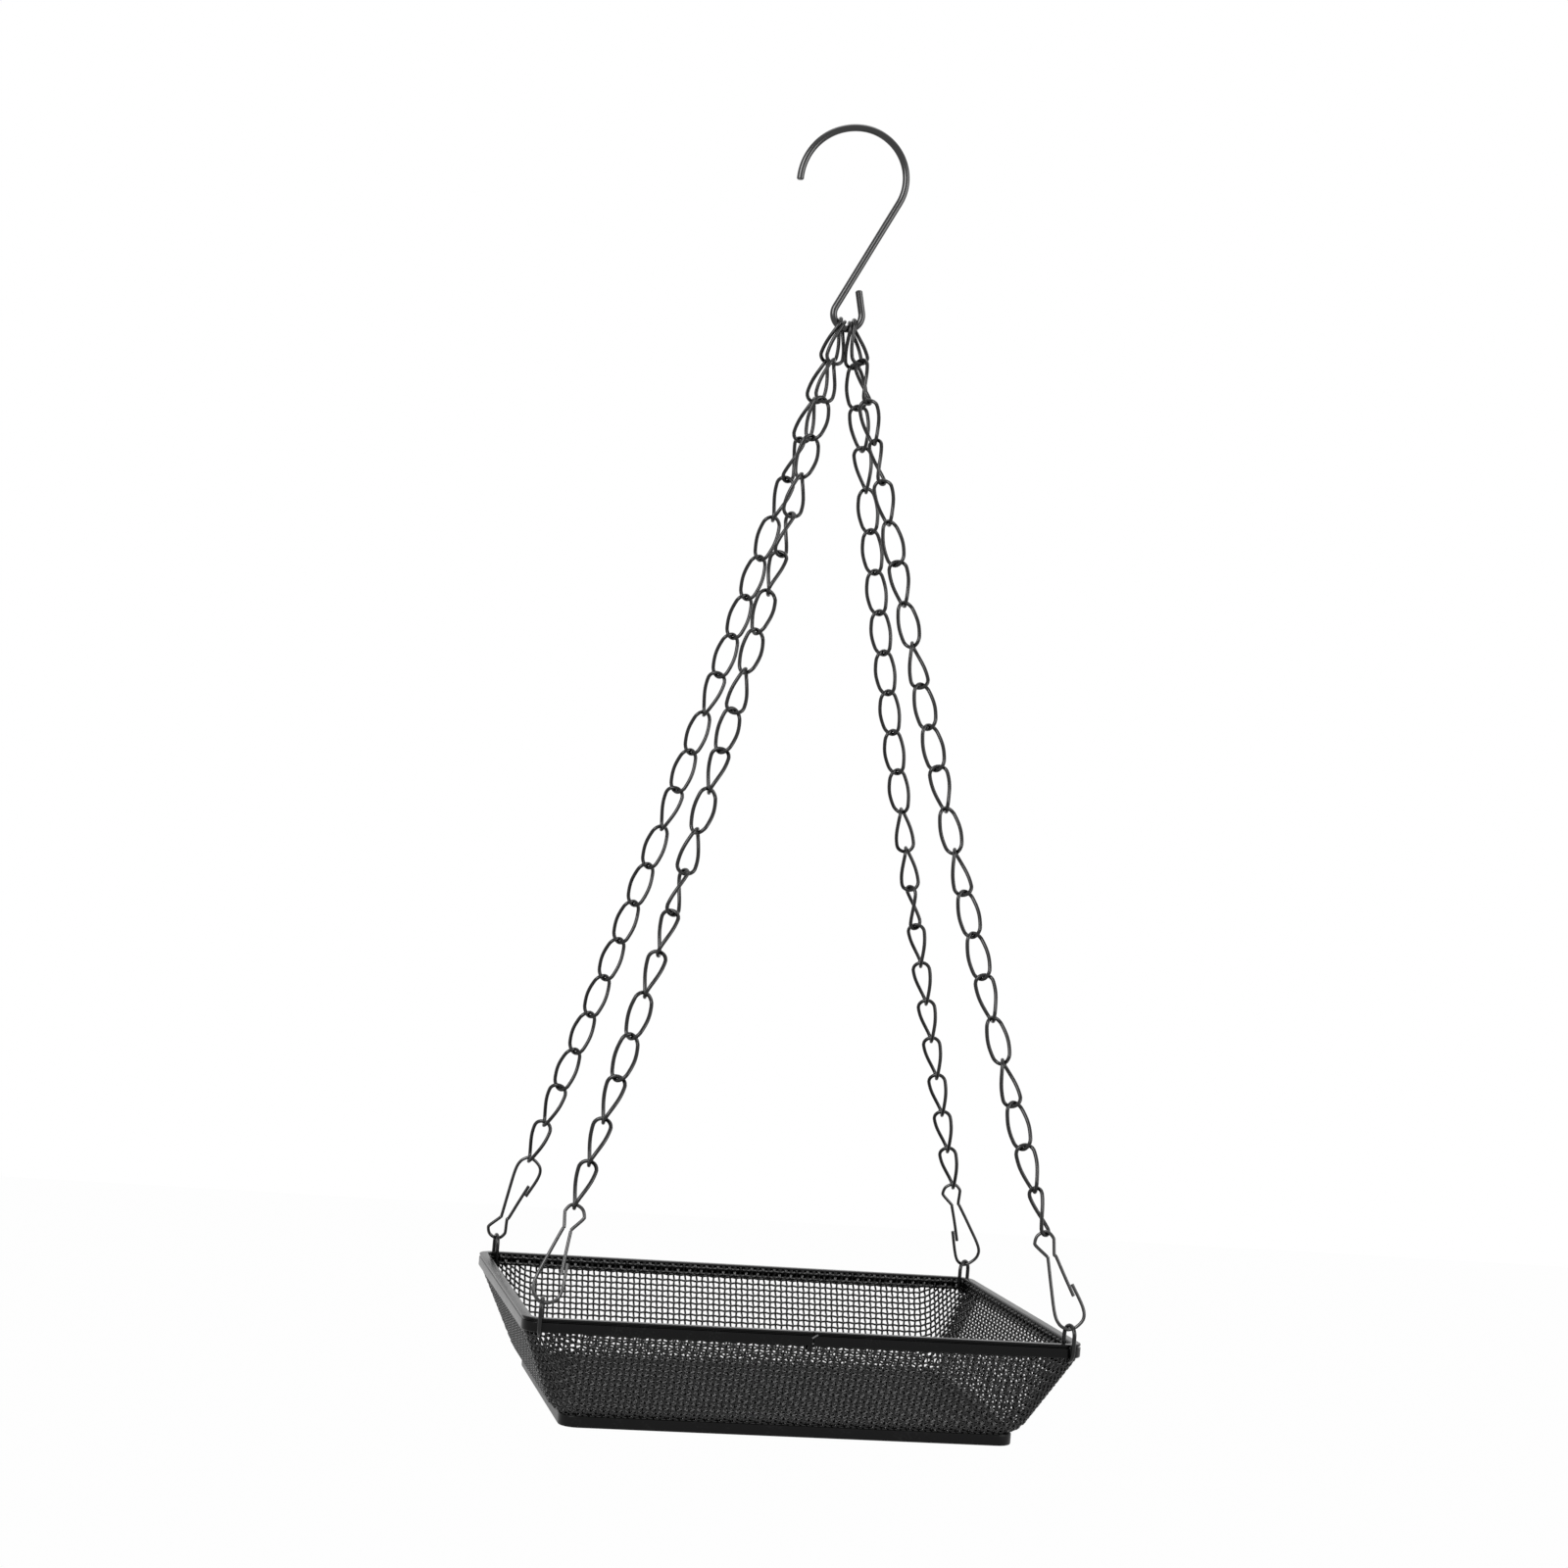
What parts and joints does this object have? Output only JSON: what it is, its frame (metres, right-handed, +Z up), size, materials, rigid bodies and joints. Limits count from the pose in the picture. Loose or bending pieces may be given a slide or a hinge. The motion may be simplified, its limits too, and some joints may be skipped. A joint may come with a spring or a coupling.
{
  "type": "platform bird feeder",
  "caption": "Hanging platform feeder: a shallow wire-cloth tray with a folded rim, on four twisted-link chains with sprung clips, from one S hook.",
  "frame": {"origin": "hanging point: the inside top of the hook's upper bend, where it rests on a branch or bracket", "axes": "+Z up along the hang, +X along the tray's long side, in the plane of the hook; -Y is the tray's front, with the rim's seam"},
  "size_m": [0.2824, 0.2265, 0.6724],
  "materials": {
    "hook_coat": "gloss",
    "chain_coat": "gloss",
    "clip_coat": "gloss",
    "ring_coat": "gloss",
    "cloth_coat": "satin",
    "rim_coat": "gloss",
    "band_coat": "gloss"
  },
  "bodies": {
    "hook": {"s_hook": "hook_coat"},
    "hung_tray": {"back_left_clip": "clip_coat", "back_left_links_01_02": "chain_coat", "back_left_links_03_04": "chain_coat", "back_left_links_05_06": "chain_coat", "back_left_links_07_08": "chain_coat", "back_left_links_09_10": "chain_coat", "back_left_links_11_12": "chain_coat", "back_left_links_13_14": "chain_coat", "back_left_links_15_16": "chain_coat", "back_left_links_17_18": "chain_coat", "back_left_links_19_20": "chain_coat", "back_left_links_21_22": "chain_coat", "back_left_ring": "ring_coat", "back_right_clip": "clip_coat", "back_right_links_01_02": "chain_coat", "back_right_links_03_04": "chain_coat", "back_right_links_05_06": "chain_coat", "back_right_links_07_08": "chain_coat", "back_right_links_09_10": "chain_coat", "back_right_links_11_12": "chain_coat", "back_right_links_13_14": "chain_coat", "back_right_links_15_16": "chain_coat", "back_right_links_17_18": "chain_coat", "back_right_links_19_20": "chain_coat", "back_right_links_21_22": "chain_coat", "back_right_ring": "ring_coat", "base_band": "band_coat", "front_left_clip": "clip_coat", "front_left_links_01_02": "chain_coat", "front_left_links_03_04": "chain_coat", "front_left_links_05_06": "chain_coat", "front_left_links_07_08": "chain_coat", "front_left_links_09_10": "chain_coat", "front_left_links_11_12": "chain_coat", "front_left_links_13_14": "chain_coat", "front_left_links_15_16": "chain_coat", "front_left_links_17_18": "chain_coat", "front_left_links_19_20": "chain_coat", "front_left_links_21_22": "chain_coat", "front_left_ring": "ring_coat", "front_right_clip": "clip_coat", "front_right_links_01_02": "chain_coat", "front_right_links_03_04": "chain_coat", "front_right_links_05_06": "chain_coat", "front_right_links_07_08": "chain_coat", "front_right_links_09_10": "chain_coat", "front_right_links_11_12": "chain_coat", "front_right_links_13_14": "chain_coat", "front_right_links_15_16": "chain_coat", "front_right_links_17_18": "chain_coat", "front_right_links_19_20": "chain_coat", "front_right_links_21_22": "chain_coat", "front_right_ring": "ring_coat", "mesh_pan": "cloth_coat", "tray_rim": "rim_coat"}
  },
  "joints": [
    {"name": "swing", "type": "hinge", "parent": "hook", "child": "hung_tray", "pos_m": [0, 0, -0.1029], "axis": [1, 0, 0], "range_deg": [-20, 20]}
  ]
}
